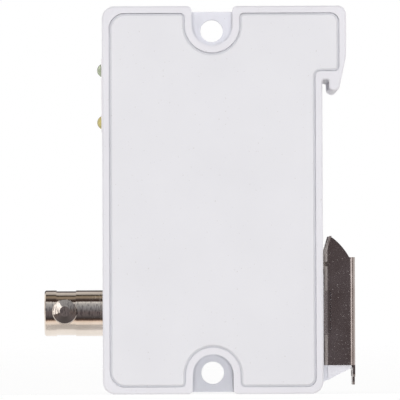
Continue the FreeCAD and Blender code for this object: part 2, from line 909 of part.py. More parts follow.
def bnc_barrel():
    """The nickel plated bayonet barrel with its groove and two coned lugs, the near one a little high."""
    body = new_body("bnc_barrel")
    turn = FreeCAD.Rotation(FreeCAD.Vector(-1, 0, 0), BARREL_TURN)
    body.Placement = FreeCAD.Placement(body.Placement.Base, turn)
    place(body, ZERO, ZERO, s.jack_height)
    outer = s.barrel_diameter / 2
    waist = outer - s.groove_depth
    bore = s.barrel_bore / 2
    liner = s.insulator_diameter / 2 + s.fit_gap
    groove_front = tip + s.groove_start
    groove_rear = groove_front + s.groove_length
    sketch = plan_sketch(body, 0)
    outline(sketch, [
        (tip, bore + s.barrel_chamfer),
        (tip + s.barrel_chamfer, bore),
        (tip + s.barrel_bore_depth, bore),
        (tip + s.barrel_bore_depth, liner),
        (s.barrel_root, liner),
        (s.barrel_root, outer),
        (groove_rear, outer),
        (groove_rear, waist),
        (groove_front, waist),
        (groove_front, outer),
        (tip + s.barrel_chamfer, outer),
        (tip, outer - s.barrel_chamfer),
    ])
    revolve(body, sketch, "X_Axis")
    lug_middle = tip + s.lug_setback
    shoulder = s.lug_span / 2 - s.lug_rise
    wall = shoulder - s.lug_edge
    foot = s.lug_base / 2
    for side, flip in ((1, 0), (-1, 180)):
        sketch = side_sketch(body, wall * -side)
        circle(sketch, lug_middle, 0, foot)
        pad(body, sketch, s.lug_root, backwards=side > 0)
        for role, start, rise, low, high in (
            ("edge", wall, s.lug_edge, foot, foot - s.lug_edge),
            ("crown", shoulder, s.lug_rise, foot - s.lug_edge, s.lug_top / 2),
        ):
            cone = body.newObject("PartDesign::AdditiveCone", f"bnc_barrel_lug_{role}")
            cone.AttachmentSupport = [(origin_item(body, "XZ_Plane"), "")]
            cone.MapMode = "FlatFace"
            turned = FreeCAD.Rotation(FreeCAD.Vector(1, 0, 0), flip)
            cone.AttachmentOffset = FreeCAD.Placement(FreeCAD.Vector(), turned)
            bind(cone, "AttachmentOffset.Base.x", lug_middle)
            bind(cone, "AttachmentOffset.Base.z", start * side)
            bind(cone, "Radius1", low)
            bind(cone, "Radius2", high)
            bind(cone, "Height", rise)
            doc.recompute()
    sketch = front_sketch(body, tip)
    circle(sketch, 0, 0, bore)
    pocket(body, sketch, s.barrel_bore_depth, backwards=True)


def bnc_insulator():
    """The white liner inside the barrel."""
    body = new_body("bnc_insulator")
    place(body, ZERO, ZERO, s.jack_height)
    sketch = plan_sketch(body, 0)
    bore = s.contact_diameter / 2 + s.fit_gap
    rectangle(sketch, tip + s.insulator_setback, bore, s.insulator_root, s.insulator_diameter / 2)
    revolve(body, sketch, "X_Axis")


def bnc_contact():
    """The gold plated centre contact, a slit socket at its front."""
    body = new_body("bnc_contact")
    place(body, ZERO, ZERO, s.jack_height)
    sketch = plan_sketch(body, 0)
    front = tip + s.contact_setback
    bore_end = front + s.barrel_bore_depth / 2
    outline(sketch, [
        (front, s.contact_bore / 2),
        (bore_end, s.contact_bore / 2),
        (bore_end, 0),
        (s.contact_root, 0),
        (s.contact_root, s.contact_diameter / 2),
        (front, s.contact_diameter / 2),
    ])
    revolve(body, sketch, "X_Axis")
    sketch = plan_sketch(body, 0)
    half = s.wire_thickness / 2
    rectangle(sketch, front, -half, bore_end, half)
    pocket(body, sketch, s.contact_diameter, both_ways=True)


def bnc_base():
    """The moulded body that carries the barrel and stands on the board."""
    body = new_body("bnc_base")
    rear = s.jack_base_front + s.jack_base_length
    half = s.jack_base_width / 2
    sketch = side_sketch(body, s.board_face)
    rectangle(sketch, s.jack_base_front, s.jack_height - half, rear, s.jack_height + half)
    pad(body, sketch, s.board_face + half)
    for radius, root in (
        (s.barrel_diameter / 2 + s.fit_gap, s.barrel_root),
        (s.contact_diameter / 2 + s.fit_gap, s.contact_root),
    ):
        sketch = front_sketch(body, s.jack_base_front)
        circle(sketch, 0, s.jack_height, radius)
        pocket(body, sketch, root - s.jack_base_front, backwards=True)


def bnc_pins():
    """The two posts and two solder pins under the jack."""
    body = new_body("bnc_pins")
    drop = s.board_thickness + s.pin_stub
    sketch = side_sketch(body, s.board_face)
    for x, z in jack_post_places():
        circle(sketch, x, z, s.jack_post_diameter / 2)
    for x, z in jack_pin_places():
        circle(sketch, x, z, s.jack_pin_diameter / 2)
    pad(body, sketch, drop, backwards=True)


def rj45_shell():
    """The folded shield round the network socket, with two legs through the board."""
    body = new_body("rj45_shell")
    half = s.port_width / 2
    near = s.board_face - s.port_rise
    sketch = front_sketch(body, s.port_recess)
    rectangle(sketch, near, port_height - half, s.board_face, port_height + half)
    pad(body, sketch, s.port_length)
    inner = half - s.shell_thickness
    sketch = front_sketch(body, s.port_recess)
    rectangle(
        sketch,
        near + s.shell_thickness,
        port_height - inner,
        s.board_face,
        port_height + inner,
    )
    pocket(body, sketch, s.port_length - s.shell_thickness, backwards=True)
    sketch = side_sketch(body, s.board_face)
    slots(sketch, shell_leg_places(), s.shell_leg_width, s.shell_thickness, 0)
    pad(body, sketch, s.board_thickness + s.pin_stub, backwards=True)


def rj45_insert():
    """The moulded insert with the plug opening and the channel for the plug's latch."""
    body = new_body("rj45_insert")
    margin = s.shell_thickness + s.fit_gap
    half = s.port_width / 2 - margin
    near = s.board_face - s.port_rise + margin
    front = s.port_recess + s.fit_gap
    rear = s.port_recess + s.port_length - margin
    sketch = front_sketch(body, front)
    rectangle(sketch, near, port_height - half, s.board_face, port_height + half)
    pad(body, sketch, rear - front)
    plug_near = s.board_face - s.plug_offset - s.plug_rise
    plug_far = s.board_face - s.plug_offset
    for low, high, width in (
        (plug_near, plug_far, s.plug_width),
        (plug_far, plug_far + s.latch_rise, s.latch_width),
    ):
        sketch = front_sketch(body, front)
        rectangle(sketch, low, port_height - width / 2, high, port_height + width / 2)
        pocket(body, sketch, s.plug_depth, backwards=True)


def rj45_contacts():
    """Eight slanting spring wires at the near side of the plug opening."""
    body = new_body("rj45_contacts")
    ceiling = s.board_face - s.plug_offset - s.plug_rise
    span = s.wire_pitch * (SOCKET_WIRES - 1)
    first = port_height - span / 2
    sketch = plan_sketch(body, first)
    outline(sketch, [
        (s.wire_start, ceiling),
        (s.wire_end, ceiling + s.wire_dip),
        (s.wire_end, ceiling + s.wire_dip + s.wire_thickness),
        (s.wire_start, ceiling + s.wire_thickness),
    ])
    wire = pad(body, sketch, s.wire_width, both_ways=True)
    row_of(body, wire, "Z_Axis", span, SOCKET_WIRES)


def row_of(body, feature, role, span, count):
    """Repeats a feature count times over span along one of the body's axes."""
    row_feature = body.newObject("PartDesign::LinearPattern", f"{body.Name}_row")
    row_feature.Originals = [feature]
    row_feature.Direction = (origin_item(body, role), [""])
    bind(row_feature, "Length", span)
    row_feature.Occurrences = round(count)
    body.Tip = row_feature
    doc.recompute()


def dc_jack_body():
    """The moulded power socket."""
    body = new_body("dc_jack_body")
    half = s.power_width / 2
    near = s.board_face - s.power_rise
    sketch = front_sketch(body, s.port_recess)
    rectangle(sketch, near, power_height - half, s.board_face, power_height + half)
    pad(body, sketch, s.power_length)
    sketch = front_sketch(body, s.port_recess)
    circle(sketch, s.board_face - s.power_axis, power_height, s.power_bore / 2)
    pocket(body, sketch, s.power_bore_depth, backwards=True)


def dc_jack_pin():
    """The centre pin of the power socket, with a rounded tip."""
    body = new_body("dc_jack_pin")
    place(body, ZERO, s.board_face - s.power_axis, power_height)
    radius = s.power_pin_diameter / 2
    front = s.port_recess + s.power_pin_setback
    root = s.port_recess + s.power_bore_depth
    sketch = plan_sketch(body, 0)
    outline(sketch, [
        (front, 0, front + radius, 0, 1),
        (root, 0),
        (root, radius),
        (front + radius, radius),
    ])
    revolve(body, sketch, "X_Axis")


def dc_jack_leads():
    """The flat solder leads of the power socket."""
    body = new_body("dc_jack_leads")
    sketch = side_sketch(body, s.board_face)
    slots(sketch, power_lead_places(), s.power_lead_thickness, s.power_lead_width, 0)
    pad(body, sketch, s.board_thickness + s.pin_stub, backwards=True)


def lamp(name, height):
    """One indicator lamp: a domed body with a flange at its base."""
    body = new_body(name)
    place(body, ZERO, ZERO, height)
    radius = s.lamp_diameter / 2
    front = -s.lamp_reach
    base = s.lamp_length - s.lamp_reach
    flange = base - s.lamp_flange
    sketch = plan_sketch(body, 0)
    outline(sketch, [
        (front, 0, front + radius, 0, 1),
        (base, 0),
        (base, s.lamp_flange_diameter / 2),
        (flange, s.lamp_flange_diameter / 2),
        (flange, radius),
        (front + radius, radius),
    ])
    revolve(body, sketch, "X_Axis")


def led_leads():
    """The bent leads that carry the two lamps on the board."""
    body = new_body("led_leads")
    base = s.lamp_length - s.lamp_reach
    half = s.lamp_lead / 2
    bend = base + s.lamp_lead_run
    foot = board_back + s.pin_stub
    for index, (x, z) in enumerate(lead_places()):
        sketch = plan_sketch(body, z)
        outline(sketch, [
            (base, -half),
            (bend + half, -half),
            (bend + half, foot),
            (bend - half, foot),
            (bend - half, half),
            (base, half),
        ])
        pad(body, sketch, s.lamp_lead, both_ways=True)


def block_on_board(name, x, z, across, up, rise):
    """A component that stands on the board's face, centred at x and z."""
    body = new_body(name)
    place(body, x, ZERO, z)
    sketch = side_sketch(body, s.board_face)
    rectangle(sketch, -across / 2, -up / 2, across / 2, up / 2)
    pad(body, sketch, rise)
    return body


def part_heights():
    """The middles of the column of parts on the board, each a gap above the one before it."""
    modem = s.parts_low + s.modem_side / 2
    capacitors = modem + s.modem_side / 2 + s.part_gap + s.capacitor_diameter / 2
    transformer = capacitors + s.capacitor_diameter / 2 + s.part_gap + s.transformer_length / 2
    ethernet = transformer + s.transformer_length / 2 + s.part_gap + s.ethernet_side / 2
    return modem, capacitors, transformer, ethernet


def network_transformer():
    """The isolating transformer between the socket and the chips, with bent feet on both sides."""
    x, z = parts_middle, part_heights()[2]
    width, rise = s.transformer_width, s.transformer_rise
    body = block_on_board("network_transformer", x, z, width, s.transformer_length, rise)
    shoulder = s.board_face - rise / 2
    edge = width / 2
    bend = edge + s.foot_reach / 2
    toe = edge + s.foot_reach
    thick = s.foot_thickness
    span = s.foot_pitch * (TRANSFORMER_FEET - 1)
    sketch = plan_sketch(body, -span / 2)
    for side in (-1, 1):
        outline(sketch, [
            (edge * side, shoulder),
            (bend * side, shoulder),
            (bend * side, s.board_face - thick),
            (toe * side, s.board_face - thick),
            (toe * side, s.board_face),
            ((bend - thick) * side, s.board_face),
            ((bend - thick) * side, shoulder + thick),
            (edge * side, shoulder + thick),
        ])
    foot = pad(body, sketch, s.foot_width, both_ways=True)
    row_of(body, foot, "Z_Axis", span, TRANSFORMER_FEET)


def storage_capacitors():
    """Two electrolytic cans side by side, with rounded tops."""
    body = new_body("storage_capacitors")
    sketch = side_sketch(body, s.board_face)
    apart = s.capacitor_diameter / 2 + s.part_gap / 2
    for x in (parts_middle - apart, parts_middle + apart):
        circle(sketch, x, part_heights()[1], s.capacitor_diameter / 2)
    pad(body, sketch, s.capacitor_rise)


def chips():
    """The flat packages on the board: the two chips and the clock crystal."""
    modem, _, _, ethernet = part_heights()
    side = s.modem_side
    block_on_board("modem_chip", parts_middle, modem, side, side, s.chip_rise)
    side = s.ethernet_side
    block_on_board("ethernet_chip", parts_middle, ethernet, side, side, s.chip_rise)
    width, long = s.crystal_width, s.crystal_length
    x = parts_middle + side / 2 + s.part_gap + width / 2
    block_on_board("clock_crystal", x, ethernet, width, long, s.crystal_rise)


def power_inductor():
    """The shielded coil of the power supply, with cut corners and a round core."""
    side = s.inductor_side
    x = lead_places()[0][0] + s.lamp_lead + s.part_gap + side / 2
    z = yellow_height
    body = block_on_board("power_inductor", x, z, side, side, s.inductor_rise)
    half = side / 2
    corners = [(half * a, half * b) for a in (-1, 1) for b in (-1, 1)]
    dress(body, "Chamfer", s.inductor_cut, runs_along_y(body, corners))
    top = s.board_face - s.inductor_rise
    sketch = side_sketch(body, top)
    circle(sketch, 0, 0, half - s.inductor_cut / 2)
    circle(sketch, 0, 0, half - s.inductor_cut)
    pocket(body, sketch, s.inductor_cut / 2)


def clip_channel(body):
    """The folded channel: a web, two flanges and two lips turned in round the guide block."""
    inner_web_bend = s.web_bend - s.sheet
    inner_lip_bend = s.lip_bend - s.sheet
    lip_inside = lip_face + s.sheet
    flange_inside = clip_half - s.sheet
    sketch = plan_sketch(body, clip_bottom)
    outline(sketch, [
        (lip_face, -lip_edge),
        (lip_face, -clip_half, s.lip_bend),
        (web_face, -clip_half, s.web_bend),
        (web_face, clip_half, s.web_bend),
        (lip_face, clip_half, s.lip_bend),
        (lip_face, lip_edge),
        (lip_inside, lip_edge),
        (lip_inside, flange_inside, inner_lip_bend),
        (web_inside, flange_inside, inner_web_bend),
        (web_inside, -flange_inside, inner_web_bend),
        (lip_inside, -flange_inside, inner_lip_bend),
        (lip_inside, -lip_edge),
    ])
    pad(body, sketch, tongue_tip - clip_bottom)


def clip_top(body):
    """Cuts the curved upper ends of the flanges, and folds the two leaning tongues in front."""
    foot = (web_face - s.flank_foot, web_top)
    head = (web_face - s.flank_head, tongue_root + s.flank_rise)
    run = (head[0] - foot[0], head[1] - foot[1])
    chord = run[0] * run[0] + run[1] * run[1]
    bow = square_root(s.flank_radius * s.flank_radius / chord - 0.25)
    centre = (
        (foot[0] + head[0]) / 2 - run[1] * bow,
        (foot[1] + head[1]) / 2 + run[0] * bow,
    )
    tongue_head = lip_face + s.tongue_lean
    before = lip_face - OVERRUN
    behind = web_face + OVERRUN
    above = tongue_tip + OVERRUN
    sketch = side_sketch(body, ZERO)
    outline(sketch, [
        (behind, web_top),
        foot,
        (*head, *centre, 1),
        (tongue_head, tongue_tip),
        (lip_face, tongue_root),
        (before, tongue_root),
        (before, above),
        (behind, above),
    ])
    pocket(body, sketch, s.clip_width + OVERRUN, both_ways=True)
    slope = s.tongue_lean / (tongue_tip - tongue_root)
    slant = s.sheet * square_root(slope * slope + 1)
    sketch = side_sketch(body, ZERO)
    outline(sketch, [
        (lip_face, tongue_root),
        (lip_face + slant, tongue_root),
        (tongue_head + slant, tongue_tip),
        (tongue_head, tongue_tip),
    ])
    pad(body, sketch, s.clip_width, both_ways=True)
    sketch = plan_sketch(body, tongue_root)
    rectangle(sketch, before, -lip_edge, tongue_head + slant, lip_edge)
    pocket(body, sketch, above - tongue_root, backwards=True)

    def folded(edge):
        ends = [local(body, vertex.Point) for vertex in edge.Vertexes]
        if len(ends) != 2 or min(abs(end.y) for end in ends) < clip_half.value - SMALLEST_CUT:
            return False
        low, high = sorted(ends, key=lambda end: end.z)
        at_root = math.hypot(low.x - lip_face.value, low.z - tongue_root.value) < 1e-3
        return at_root and abs(high.z - tongue_tip.value) < 1e-3

    dress(body, "Fillet", s.tongue_bend, folded)


def clip_windows(body):
    """Cuts the relief slot and the windows in the lips, and folds the guide tabs behind them."""
    before = lip_face - OVERRUN
    sketch = side_sketch(body, -clip_half - OVERRUN)
    half = s.relief_width / 2
    relief_height = tongue_root - s.relief_drop
    end = lip_face + s.relief_reach
    outline(sketch, [
        (before, relief_height - half),
        (end, relief_height - half, half),
        (end, relief_height + half, half),
        (before, relief_height + half),
    ])
    pocket(body, sketch, clip_half + OVERRUN)
    sketch = side_sketch(body, ZERO)
    rectangle(sketch, before, window_low, lip_face + s.window_reach, window_high)
    pocket(body, sketch, s.clip_width + OVERRUN, both_ways=True)
    outer = clip_half - s.guide_offset
    inner = outer - s.sheet
    ledge_edge = clip_half - s.lip_bend + s.sheet
    for edge, rise in ((ledge_edge, s.sheet), (outer, window_high - window_low)):
        sketch = plan_sketch(body, window_low)
        rectangle(sketch, lip_face, inner, lip_face + s.window_reach, edge)
        rectangle(sketch, lip_face, -edge, lip_face + s.window_reach, -inner)
        pad(body, sketch, rise)


def clip_seat(body):
    """Cuts the window in the web and folds its tab inwards, where the spring bears."""
    half = s.seat_width / 2
    reach = spring_axis - spring_radius
    sketch = front_sketch(body, web_inside)
    rectangle(sketch, -half, seat_height - web_inside + reach, half, seat_height)
    pocket(body, sketch, s.sheet, backwards=True)
    sketch = plan_sketch(body, seat_height)
    rectangle(sketch, reach, -half, web_inside + s.sheet / 2, half)
    pad(body, sketch, s.sheet)


def clip_tail(body):
    """The tail below the flanges, with the slot for the tool that pulls the clip down."""
    flat = clip_half - s.web_bend
    half = s.tail_width / 2
    shoulder = clip_bottom - s.shoulder_drop
    tail_tip = clip_bottom - s.tail_drop
    sketch = front_sketch(body, web_inside)
    outline(sketch, [
        (-flat, clip_bottom),
        (-flat, shoulder, s.tail_corner),
        (-half, shoulder),
        (-half, tail_tip, s.tail_corner),
        (half, tail_tip, s.tail_corner),
        (half, shoulder),
        (flat, shoulder, s.tail_corner),
        (flat, clip_bottom),
    ])
    pad(body, sketch, s.sheet)
    sketch = front_sketch(body, web_inside)
    slot_half = s.tool_slot_width / 2
    slot_low = clip_bottom - s.tool_slot_drop - s.tool_slot_rise / 2
    rectangle(sketch, -slot_half, slot_low, slot_half, slot_low + s.tool_slot_rise)
    pocket(body, sketch, s.sheet, backwards=True)


def rail_clip():
    """The sprung clip, folded from one sheet of nickel plated steel."""
    body = new_body("rail_clip")
    clip_channel(body)
    clip_top(body)
    clip_windows(body)
    clip_seat(body)
    clip_tail(body)


def clip_spring():
    """The compression spring between the guide block's floor and the clip's seat tab."""
    body = new_body("clip_spring")
    place(body, spring_axis, ZERO, spring_floor)
    wire_radius = s.spring_wire / 2
    middle = spring_radius - wire_radius
    half_turn = math.pi / WIRE_SIDES
    corners = []
    for index in range(WIRE_SIDES):
        angle = half_turn * 2 * index
        across = wire_radius * (math.cos(angle) / math.cos(half_turn))
        up = wire_radius * (math.sin(angle) / math.cos(half_turn))
        corners.append((middle + across, wire_radius + up))
    sketch = side_sketch(body, ZERO)
    outline(sketch, corners)
    helix = body.newObject("PartDesign::AdditiveHelix", "clip_spring_helix")
    helix.Profile = sketch
    helix.ReferenceAxis = (origin_item(body, "Z_Axis"), [""])
    helix.Mode = "height-turns-angle"
    bind(helix, "Height", seat_height - spring_floor - s.spring_wire)
    bind(helix, "Turns", s.spring_turns)
    doc.recompute()


housing()
side_cover()
front_overlay()
main_pcb()
pcb_screws()
bnc_barrel()
bnc_insulator()
bnc_contact()
bnc_base()
bnc_pins()
rj45_shell()
rj45_insert()
rj45_contacts()
dc_jack_body()
dc_jack_pin()
dc_jack_leads()
lamp("led_green", green_height)
lamp("led_yellow", yellow_height)
led_leads()
network_transformer()
storage_capacitors()
chips()
power_inductor()
rail_clip()
clip_spring()

doc.recompute()
for item in doc.Objects:
    if "Invalid" in item.State or "Error" in item.State:
        raise RuntimeError(f"{item.Name} is {item.State}")
os.makedirs("parts", exist_ok=True)
for body in doc.findObjects("PartDesign::Body"):
    if body.Shape.isNull() or not body.Shape.isValid():
        raise RuntimeError(f"{body.Label} has no sound shape")
    body.Shape.exportStep(f"parts/{body.Label}.step")
    print(body.Label, len(body.Shape.Solids), round(body.Shape.Volume, 2))
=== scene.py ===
"""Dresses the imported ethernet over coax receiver: its finishes, its light and its camera."""

import json
import math

import bpy
from mathutils import Matrix, Vector


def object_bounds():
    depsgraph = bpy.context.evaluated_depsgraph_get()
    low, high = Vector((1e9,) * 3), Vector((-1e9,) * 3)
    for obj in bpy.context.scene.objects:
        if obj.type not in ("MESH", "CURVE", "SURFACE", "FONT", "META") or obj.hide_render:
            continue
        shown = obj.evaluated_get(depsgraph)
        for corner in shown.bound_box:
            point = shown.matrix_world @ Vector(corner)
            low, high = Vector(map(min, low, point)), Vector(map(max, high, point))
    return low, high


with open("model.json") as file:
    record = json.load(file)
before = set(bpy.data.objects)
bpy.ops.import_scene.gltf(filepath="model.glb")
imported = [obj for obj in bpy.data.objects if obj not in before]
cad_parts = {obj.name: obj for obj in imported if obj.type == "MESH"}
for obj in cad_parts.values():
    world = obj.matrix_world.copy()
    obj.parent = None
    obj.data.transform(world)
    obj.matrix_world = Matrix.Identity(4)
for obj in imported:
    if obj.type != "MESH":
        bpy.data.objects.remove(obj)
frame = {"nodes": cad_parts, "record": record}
cad_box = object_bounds()

MM = 0.001

CAMERA_PLACE = (-1.9 * MM, -1040.5 * MM, 22.5 * MM)
CAMERA_TARGET = (0.17 * MM, -12.5 * MM, 40.5 * MM)
CAMERA_ROLL = math.radians(-0.2)
CAMERA_LENS = 443.7
CAMERA_SENSOR = 36.0
CAMERA_RANGE = (0.05, 20.0)

# What the room shows at each angle: degrees up from level in front of the part, and the colour.
ROOM_BANDS = [
    (-180, (0.95, 0.93, 0.90)),
    (-100, (0.90, 0.88, 0.85)),
    (-62, (0.62, 0.58, 0.55)),
    (-53, (0.95, 0.88, 0.83)),
    (-46, (0.92, 0.82, 0.74)),
    (-40, (0.81, 0.67, 0.58)),
    (-36, (0.20, 0.13, 0.10)),
    (-31, (0.055, 0.04, 0.035)),
    (-25, (0.055, 0.045, 0.048)),
    (-20, (0.084, 0.078, 0.082)),
    (-10, (0.137, 0.123, 0.132)),
    (5, (0.149, 0.128, 0.138)),
    (15, (0.176, 0.172, 0.188)),
    (30, (0.28, 0.29, 0.32)),
    (46, (0.42, 0.435, 0.455)),
    (54, (0.60, 0.61, 0.63)),
    (59, (0.80, 0.80, 0.80)),
    (62, (0.08, 0.06, 0.055)),
    (66, (0.05, 0.035, 0.03)),
    (75, (0.06, 0.045, 0.04)),
    (80, (0.17, 0.15, 0.13)),
    (85, (0.30, 0.25, 0.20)),
    (95, (0.30, 0.25, 0.19)),
    (99, (0.06, 0.05, 0.04)),
    (105, (0.06, 0.05, 0.04)),
    (111, (0.42, 0.40, 0.385)),
    (119, (0.58, 0.56, 0.53)),
    (134, (0.68, 0.65, 0.63)),
    (141, (0.22, 0.20, 0.21)),
    (150, (0.10, 0.09, 0.09)),
    (180, (0.10, 0.09, 0.09)),
]

# The side walls fade in over this share of X in the direction, and from dark to pale over this share of Y.
WALL_START = (0.35, 0.6)
WALL_TURN = (-0.45, 0.25)
WALL_NEAR = (0.13, 0.10, 0.085)
WALL_FAR = (0.92, 0.89, 0.86)
WHITE = (1.0, 1.0, 1.0)

# Each lamp: its name, its place, its width and height, and its watts. Metal mirrors only the first three.
MIRRORED_LAMPS = [
    ("key", (-0.85, -0.45, 0.40), (0.5, 1.2), 1.4),
    ("window", (-0.40, -0.86, 0.30), (0.30, 0.55), 0.6),
    ("strip", (0.72, -0.69, 0.10), (0.46, 0.6), 1.2),
]
SOFT_LAMPS = [
    ("fill", (0.0, -1.3, 0.02), (0.08, 0.05), 10.1),
    ("bank", (0.0, -0.55, 0.90), (1.3, 0.8), 0.5),
    ("side", (0.80, 0.45, 0.15), (0.5, 0.8), 3.0),
    ("rear", (-0.70, 0.60, 0.12), (0.5, 0.8), 1.7),
    ("roof", (0.0, 0.55, 0.85), (1.0, 0.6), 2.8),
]
LAMP_TARGET = (0.0, 0.0, 0.04)

# The floor fades in across its front edge and fades out with the distance behind. Metal sees it glow
# behind the mirror's fade, the camera sees it glow all over.
FLOOR_REACH = 3.0
FLOOR_COLOUR = (0.93, 0.93, 0.93)
FLOOR_ROUGHNESS = 0.9
FLOOR_GLOSS = 0.2
FRONT_FADE = (-13.0 * MM, -9.5 * MM)
REAR_FADE = (0.08, 0.95)
MIRROR_FADE = (-4.5 * MM, -0.3 * MM)
FLOOR_GLOW = 0.91

# How noise is stretched: long round the barrel, and long down the leads.
AROUND_BARREL = (1.0, 0.25, 0.25)
ALONG_LEADS = (1.0, 0.1, 1.0)

# Where the barrel's streaks lie, as a height and how far they reach from it, and the X over which the clip's
# painted lip sheen fades out: left of it the lips are painted pale, a painted reflection of the lit housing
# wall.
STREAK_HEIGHT = 17.9 * MM
STREAK_REACH = (1.2 * MM, 1.9 * MM)
PAINTED_LIP_SHEEN = (26.75 * MM, 27.0 * MM)


def mixed(nodes, links, share, first, second):
    """A colour between two, each a colour or another node's output."""
    mix = nodes.new("ShaderNodeMix")
    mix.data_type = "RGBA"
    links.new(share, mix.inputs["Factor"])
    sockets = [socket for socket in mix.inputs if socket.type == "RGBA"]
    for socket, colour in zip(sockets, (first, second)):
        if isinstance(colour, bpy.types.NodeSocket):
            links.new(colour, socket)
        else:
            socket.default_value = (*colour[:3], 1.0)
    return next(socket for socket in mix.outputs if socket.type == "RGBA")


def ranged(nodes, links, value, limits, ends=(0.0, 1.0)):
    """The value's smooth climb between two limits."""
    climb = nodes.new("ShaderNodeMapRange")
    climb.interpolation_type = "SMOOTHSTEP"
    climb.inputs["From Min"].default_value, climb.inputs["From Max"].default_value = limits
    climb.inputs["To Min"].default_value, climb.inputs["To Max"].default_value = ends
    links.new(value, climb.inputs["Value"])
    return climb.outputs["Result"]


def joined(nodes, links, operation, first, second):
    """A number worked out from two, the second an output or a plain number."""
    join = nodes.new("ShaderNodeMath")
    join.operation = operation
    links.new(first, join.inputs[0])
    if isinstance(second, bpy.types.NodeSocket):
        links.new(second, join.inputs[1])
    else:
        join.inputs[1].default_value = second
    return join.outputs["Value"]


class Finish:
    """A material whose colour, roughness and relief vary over the piece, in the piece's own metres."""

    def __init__(self, name, metallic=0.0, coat=0.0):
        self.material = bpy.data.materials.new(name)
        self.material.use_nodes = True
        self.nodes = self.material.node_tree.nodes
        self.links = self.material.node_tree.links
        self.shader = self.nodes["Principled BSDF"]
        self.shader.inputs["Metallic"].default_value = metallic
        self.shader.inputs["Coat Weight"].default_value = coat
        self.place = self.nodes.new("ShaderNodeTexCoord").outputs["Object"]

    def axis(self, name):
        """The place along one axis."""
        parts = self.nodes.new("ShaderNodeSeparateXYZ")
        self.links.new(self.place, parts.inputs["Vector"])
        return parts.outputs[name]

    def stretched(self, stretch):
        """The place, scaled along each axis."""
        mapping = self.nodes.new("ShaderNodeMapping")
        mapping.inputs["Scale"].default_value = stretch
        self.links.new(self.place, mapping.inputs["Vector"])
        return mapping.outputs["Vector"]

    def noise(self, size, detail=2.0, stretch=(1.0, 1.0, 1.0)):
        """Cloudy noise with features of about the given size in metres."""
        texture = self.nodes.new("ShaderNodeTexNoise")
        texture.inputs["Scale"].default_value = 1.0 / size
        texture.inputs["Detail"].default_value = detail
        self.links.new(self.stretched(stretch), texture.inputs["Vector"])
        return texture.outputs["Fac"]

    def span(self, value, low, high, start=0.3, end=0.7):
        """The value's range from start to end, spread over low to high."""
        spread = self.nodes.new("ShaderNodeMapRange")
        spread.inputs["From Min"].default_value = start
        spread.inputs["From Max"].default_value = end
        spread.inputs["To Min"].default_value = low
        spread.inputs["To Max"].default_value = high
        self.links.new(value, spread.inputs["Value"])
        return spread.outputs["Result"]

    def blend(self, share, first, second):
        """A colour between two, nearer the second as the share rises."""
        return mixed(self.nodes, self.links, share, first, second)

    def work(self, operation, first, second):
        """A number worked out from two."""
        return joined(self.nodes, self.links, operation, first, second)

    def colour(self, value):
        """Sets the surface's colour."""
        self.links.new(value, self.shader.inputs["Base Color"])

    def roughness(self, value):
        """Sets the surface's roughness."""
        self.links.new(value, self.shader.inputs["Roughness"])

    def relief(self, height, depth, strength=1.0):
        """Raises the surface by the height, over what relief it already has."""
        bump = self.nodes.new("ShaderNodeBump")
        bump.inputs["Distance"].default_value = depth
        bump.inputs["Strength"].default_value = strength
        self.links.new(height, bump.inputs["Height"])
        normal = self.shader.inputs["Normal"]
        if normal.is_linked:
            self.links.new(normal.links[0].from_socket, bump.inputs["Normal"])
        self.links.new(bump.outputs["Normal"], normal)


def moulded_white(name, pale, deep):
    """Fine textured white plastic with faint clouding and a few dust specks."""
    finish = Finish(name)
    clouds = finish.span(finish.noise(14 * MM, 3.0), 0.0, 1.0)
    body = finish.blend(clouds, pale, deep)
    specks = finish.span(finish.noise(0.45 * MM, 1.0), 0.0, 0.35, 0.73, 0.8)
    finish.colour(finish.blend(specks, body, (0.45, 0.43, 0.41)))
    grain = finish.noise(0.16 * MM, 3.0)
    finish.roughness(finish.span(grain, 0.42, 0.56))
    finish.relief(grain, 0.012 * MM, 0.5)
    return finish.material


def plated_metal(name, pale, deep, smooth, rough, grain=0.3, grain_depth=0.004, stretch=(1.0, 1.0, 1.0)):
    """Metal whose grain runs along the axes that the stretch makes long."""
    finish = Finish(name, metallic=1.0)
    stains = finish.span(finish.noise(3 * MM, 3.0), 0.0, 1.0)
    finish.colour(finish.blend(stains, pale, deep))
    marks = finish.noise(grain * MM, 3.0, stretch)
    finish.roughness(finish.span(marks, smooth, rough))
    finish.relief(marks, grain_depth * MM, 0.6)
    return finish.material


def turned_nickel(name):
    """Bright plating over a turned barrel, with fine dull streaks above the middle of its sides, painted
    where it mirrors the room's pale band as a mottle in that reflection.
    """
    finish = Finish(name, metallic=1.0)
    stains = finish.span(finish.noise(3 * MM, 3.0), 0.0, 1.0)
    plate = finish.blend(stains, (0.87, 0.79, 0.71), (0.79, 0.71, 0.63))
    streaks = finish.noise(0.28 * MM, 2.0, AROUND_BARREL)
    # The streaks are kept to the height where the barrel mirrors the room's pale band: partly the turned
    # finish, partly a painted mottle of that reflection.
    away = finish.work("SUBTRACT", finish.axis("Z"), STREAK_HEIGHT)
    away = finish.work("ABSOLUTE", away, 0.0)
    mirrored_band_share = finish.span(away, 0.8, 0.0, *STREAK_REACH)
    dull = finish.work("MULTIPLY", finish.span(streaks, 0.0, 1.0, 0.5, 0.64), mirrored_band_share)
    finish.colour(finish.blend(dull, plate, (0.34, 0.30, 0.28)))
    finish.roughness(finish.span(streaks, 0.05, 0.13))
    finish.relief(streaks, 0.024 * MM, 0.6)
    return finish.material


